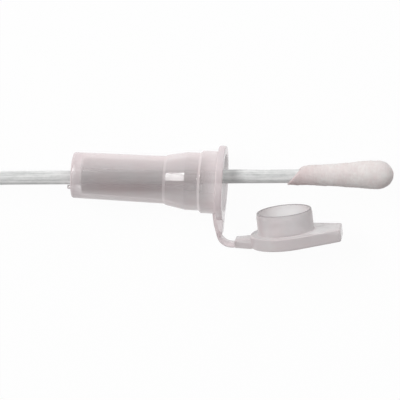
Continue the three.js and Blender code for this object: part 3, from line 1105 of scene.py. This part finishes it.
def bud_radius_at(swab, along):
    """Radius of the winding at a distance from its start: slim at first, full near the tip."""
    tip_start = swab.bud_length - swab.tip_length
    if along >= tip_start:
        into_tip = min(1.0, (along - tip_start) / swab.tip_length)
        return swab.bud_radius * math.sqrt(max(0.0, 1.0 - into_tip ** TIP_ROUNDNESS))
    swell = min(1.0, max(0.0, along / (FULLEST_AT * tip_start))) ** SWELL_LATENESS
    return swab.tail_radius + (swab.bud_radius - swab.tail_radius) * swell


def bud_relief(along, turn, radius):
    """How far the winding stands out or in at a place: soft lumps, slanting wraps and tufts."""
    lump_height, wrap_height, tuft_height = 0.09 * MM, 0.05 * MM, 0.02 * MM
    lump_rate, wrap_rate, tuft_rate, tuft_rate_across = 0.42, 1.5, 1.6, 2.4  # per millimetre
    slant, tuft_fall, tuft_step, tuft_octaves = 0.9, 0.9, 2.1, 3
    place = Vector((along, radius * math.cos(turn), radius * math.sin(turn))) / MM
    lump = noise.noise(place * lump_rate)
    wrap = noise.noise(Vector((
        place.x * wrap_rate + turn * slant, math.cos(turn), math.sin(turn),
    )))
    tuft = noise.fractal(
        Vector((place.x * tuft_rate, place.y * tuft_rate_across, place.z * tuft_rate_across)),
        tuft_fall, tuft_step, tuft_octaves,
    )
    return lump * lump_height + wrap * wrap_height + tuft * tuft_height


def cotton_winding(swab):
    """The wound bud: slanted tail lip, swelling body, round tip, and a bore for the stick."""
    around, stations = 150, 170
    bore = swab.shaft_radius + 0.02 * MM
    bore_end = swab.bud_length - swab.tip_cover + 0.05 * MM
    slope = math.tan(swab.start_slant)

    def start_of(turn):
        """Where the winding starts along the stick."""
        return swab.tail_radius * (1.0 + math.sin(turn)) * slope

    def lip_of(turn):
        """How far the rounding of its start reaches."""
        return swab.tail_lip + swab.tail_rounding * ((1.0 + math.sin(turn)) / 2) ** 2

    def row(distance_of, radius_of, offset):
        """One ring of points round the stick."""
        ring = []
        for place in range(around):
            turn = 2 * math.pi * place / around
            along = distance_of(turn)
            radius = radius_of(along, turn)
            ring.append(Vector((
                along, offset + radius * math.sin(turn), radius * math.cos(turn),
            )))
        return ring

    rows = [
        row(lambda turn: bore_end, lambda along, turn: 0.0, 0.0),
        row(lambda turn: bore_end, lambda along, turn: bore, 0.0),
    ]
    for degrees in (0, 20, 40, 60, 75):
        into, out = 1.0 - math.cos(math.radians(degrees)), math.sin(math.radians(degrees))
        rows.append(row(
            lambda turn: start_of(turn) + into * lip_of(turn),
            lambda along, turn: bore + out * (bud_outer(swab, along, turn) - bore),
            out * swab.bud_offset,
        ))
    for station in range(stations + 1):
        # the stations crowd together towards the tip
        done = math.sin(station / stations * math.pi / 2)
        rows.append(row(
            lambda turn: start_of(turn) + lip_of(turn)
            + done * (swab.bud_length - start_of(turn) - lip_of(turn)),
            lambda along, turn: bud_outer(swab, along, turn),
            swab.bud_offset,
        ))
    return lofted("cotton_winding", rows, flat_ends=False)


def bud_outer(swab, along, turn):
    """Radius of the bud's outside, with its relief fading out at the very tip."""
    radius = bud_radius_at(swab, along)
    return max(0.0, radius + bud_relief(along, turn, radius) * min(1.0, radius / MM))


def fibre_tree(material):
    """Short fibre ends that lie on the winding, turned mostly round it."""
    arc_start = arc_sweep = math.radians(60)
    most_turn, smallest, largest = 0.9, 0.5, 1.3
    round_the_bud = (0.35, 1.0, 0.0)
    tree, given = shape_tree("Loose fibres", [
        ("Density", "Float"), ("Length", "Float"), ("Thickness", "Float"), ("Lift", "Float"),
        ("Seed", "Int"),
    ])
    scattered = node(tree, "GeometryNodeDistributePointsOnFaces", {
        "Mesh": given["Geometry"], "Density": given["Density"], "Seed": given["Seed"],
    }).outputs
    arc = node(tree, "GeometryNodeCurveArc", {
        "Resolution": 5, "Start Angle": arc_start, "Sweep Angle": arc_sweep,
        "Radius": given["Length"],
    })
    section = node(tree, "GeometryNodeCurvePrimitiveCircle", {
        "Resolution": 3, "Radius": given["Thickness"],
    })
    fibre = node(tree, "GeometryNodeCurveToMesh", {
        "Curve": arc, "Profile Curve": section, "Fill Caps": True,
    })
    down = maths(tree, "SUBTRACT", given["Lift"], given["Length"])
    lowered = node(tree, "GeometryNodeTransform", {
        "Geometry": fibre, "Translation": node(tree, "ShaderNodeCombineXYZ", {"Y": down}),
    })
    upright = node(tree, "GeometryNodeTransform", {
        "Geometry": lowered, "Rotation": (math.pi / 2, 0.0, 0.0),
    })
    spin = node(tree, "FunctionNodeRandomValue", {
        "Min": -most_turn, "Max": most_turn, "Seed": given["Seed"],
    }, data_type="FLOAT")
    facing = node(tree, "FunctionNodeAlignRotationToVector", {
        "Rotation": scattered["Rotation"], "Vector": round_the_bud,
    }, axis="X", pivot_axis="Z")
    about = node(tree, "FunctionNodeAxisAngleToRotation", {
        "Axis": (0.0, 0.0, 1.0), "Angle": spin.outputs["Value"],
    })
    turned_fibre = node(tree, "FunctionNodeRotateRotation", {
        "Rotation": facing, "Rotate By": about,
    }, rotation_space="LOCAL")
    size = node(tree, "FunctionNodeRandomValue", {
        "Min": smallest, "Max": largest, "Seed": given["Seed"],
    }, data_type="FLOAT")
    spread = node(tree, "GeometryNodeInstanceOnPoints", {
        "Points": scattered["Points"], "Instance": upright,
        "Rotation": turned_fibre, "Scale": size.outputs["Value"],
    })
    return end_tree(tree, spread, material)


class SWABTUBE_OT_cotton_bud(bpy.types.Operator):
    """Builds the wound cotton bud and the loose fibre ends on it"""

    bl_idname = "swabtube.cotton_bud"
    bl_label = "Cotton Bud"
    bl_options = {"REGISTER", "UNDO"}

    def execute(self, context):
        swab = context.scene.swab_tube_swab
        cotton = wound_cotton()
        winding = cotton_winding(swab)
        area = sum(face.area for face in winding.polygons)
        fuzz = grown(winding.copy(), fibre_tree(cotton), {
            "Density": swab.fibre_count / area, "Length": swab.fibre_length,
            "Thickness": swab.fibre_radius, "Lift": swab.fibre_lift, "Seed": 7,
        })
        to_tail = Matrix.Translation((swab.reach - swab.bud_length, 0.0, 0.0))
        for name, mesh in (("cotton_bud_winding", winding), ("cotton_bud_fibres", fuzz)):
            mesh.transform(to_tail)
            piece = placed_piece(name, mesh, swab_axes(), (cotton,), sharp_degrees=80.0)
            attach(piece, "swab")
            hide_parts("cotton_bud")
        return {"FINISHED"}


# ---- Floor, light and camera ----

def camera_axes():
    """The camera's right, up and back directions, from the swab's own axes."""
    stage = bpy.context.scene.swab_tube_stage
    lying = swab_axes().to_3x3()
    back = lying @ Vector(stage.camera_way).normalized()
    along = lying.col[0]
    right = (along - back * along.dot(back)).normalized()
    up = back.cross(right)
    level = right * math.cos(stage.camera_roll) - up * math.sin(stage.camera_roll)
    return level, back.cross(level), back


def softbox(name, target, towards, distance, width, height, power, up):
    """Adds a rectangular soft lamp that faces the object from one direction."""
    lamp = bpy.data.lights.new(name, "AREA")
    lamp.shape = "RECTANGLE"
    lamp.size, lamp.size_y = width, height
    lamp.energy = power
    back = towards.normalized()
    across = up.cross(back).normalized()
    holder = linked_object(name, lamp)
    holder.matrix_world = axes_matrix(across, back.cross(across), back, target + back * distance)


def pale_floor(colour_of_floor, whiteness):
    """A matt floor that looks white to the camera and still shows the object's soft shadow."""
    material = bpy.data.materials.new("pale_floor")
    tree = emptied(material)
    matt = node(tree, "ShaderNodeBsdfDiffuse", {"Color": (*colour_of_floor, 1.0)})
    white = node(tree, "ShaderNodeEmission", {"Color": (1.0, 1.0, 1.0, 1.0), "Strength": 1.0})
    plain = ranged(tree, seen_directly(tree), high=whiteness)
    mixed = node(tree, "ShaderNodeMixShader", {0: plain, 1: matt, 2: white})
    node(tree, "ShaderNodeOutputMaterial", {"Surface": mixed})
    return material


def seen_directly(tree):
    """1 for a ray from the camera, or one that a gloss or glass sends on, and 0 for others."""
    rays = node(tree, "ShaderNodeLightPath").outputs
    straight = maths(tree, "MAXIMUM", rays["Is Camera Ray"], rays["Is Glossy Ray"])
    return maths(tree, "MAXIMUM", straight, rays["Is Transmission Ray"])


class SWABTUBE_OT_stage(bpy.types.Operator):
    """Builds the floor, the light and the camera"""

    bl_idname = "swabtube.stage"
    bl_label = "Floor, Light and Camera"
    bl_options = {"REGISTER", "UNDO"}

    def execute(self, context):
        scene = context.scene
        stage, finishes = scene.swab_tube_stage, scene.swab_tube_finishes
        scene.view_settings.view_transform = "Standard"
        right, up, back = camera_axes()
        mouth = tube_axes().translation

        sheet = bpy.data.meshes.new("floor")
        half = 2.0  # metres, far beyond the camera's view
        sheet.from_pydata(
            [(-half, -half, 0), (half, -half, 0), (half, half, 0), (-half, half, 0)], [],
            [(0, 1, 2, 3)],
        )
        sheet.materials.append(pale_floor(tuple(finishes.floor), stage.floor_white))
        linked_object("floor", sheet)

        scene.world = bpy.data.worlds.new("studio")
        tree = emptied(scene.world)
        sky = node(tree, "ShaderNodeBackground", {
            "Color": (1.0, 1.0, 1.0, 1.0),
            "Strength": ranged(tree, seen_directly(tree), low=stage.sky_light),
        })
        node(tree, "ShaderNodeOutputWorld", {"Surface": sky})

        key_way = -0.55 * right + 0.276 * up + 0.786 * back
        softbox("key_softbox", mouth, key_way, stage.lamp_distance,
                width=0.2, height=0.33, power=stage.key_power, up=up)
        top_way = 0.35 * right + 0.8 * up + 0.5 * back
        softbox("top_softbox", mouth, top_way, stage.lamp_distance,
                width=0.5, height=0.3, power=stage.top_power, up=right)

        camera = bpy.data.cameras.new("camera")
        camera.lens, camera.sensor_width = stage.lens, 36.0
        camera.clip_start, camera.clip_end = 0.01, 10.0
        holder = linked_object("camera", camera)
        aim = mouth - stage.aim_left * right - stage.aim_below * up
        holder.matrix_world = axes_matrix(right, up, back, aim + stage.camera_distance * back)
        scene.camera = holder
        return {"FINISHED"}


# ---- Sidebar panel, registration and making ----

OPERATORS = (
    SWABTUBE_OT_stage,
    SWABTUBE_OT_guard_tube,
    SWABTUBE_OT_hinge_strap,
    SWABTUBE_OT_snap_cap,
    SWABTUBE_OT_swab_shaft,
    SWABTUBE_OT_cotton_bud,
)


class SWABTUBE_PT_panel(bpy.types.Panel):
    """Lists the pieces and their sizes"""

    bl_idname = "SWABTUBE_PT_panel"
    bl_label = "Specimen Swab Tube"
    bl_space_type = "VIEW_3D"
    bl_region_type = "UI"
    bl_category = "Swab Tube"

    def draw(self, context):
        for kind in OPERATORS:
            self.layout.operator(kind.bl_idname)
        for name, kind in GROUPS.items():
            box = self.layout.box()
            for field in kind.__annotations__:
                box.prop(getattr(context.scene, name), field)


CLASSES = (*GROUPS.values(), *OPERATORS, SWABTUBE_PT_panel)


def register():
    """Makes the classes known to Blender, and gives every scene its groups of sizes."""
    for kind in CLASSES:
        bpy.utils.register_class(kind)
    for name, kind in GROUPS.items():
        setattr(bpy.types.Scene, name, PointerProperty(type=kind))


def unregister():
    """Takes the groups and the classes away again."""
    for name in GROUPS:
        delattr(bpy.types.Scene, name)
    for kind in reversed(CLASSES):
        bpy.utils.unregister_class(kind)


def corners(box):
    """A box's two corners as plain lists."""
    return [list(corner) for corner in box]


def main():
    """Builds everything."""
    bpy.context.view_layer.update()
    register()
    for kind in OPERATORS:
        group, name = kind.bl_idname.split(".")
        getattr(getattr(bpy.ops, group), name)()


if __name__ == "__main__":
    main()
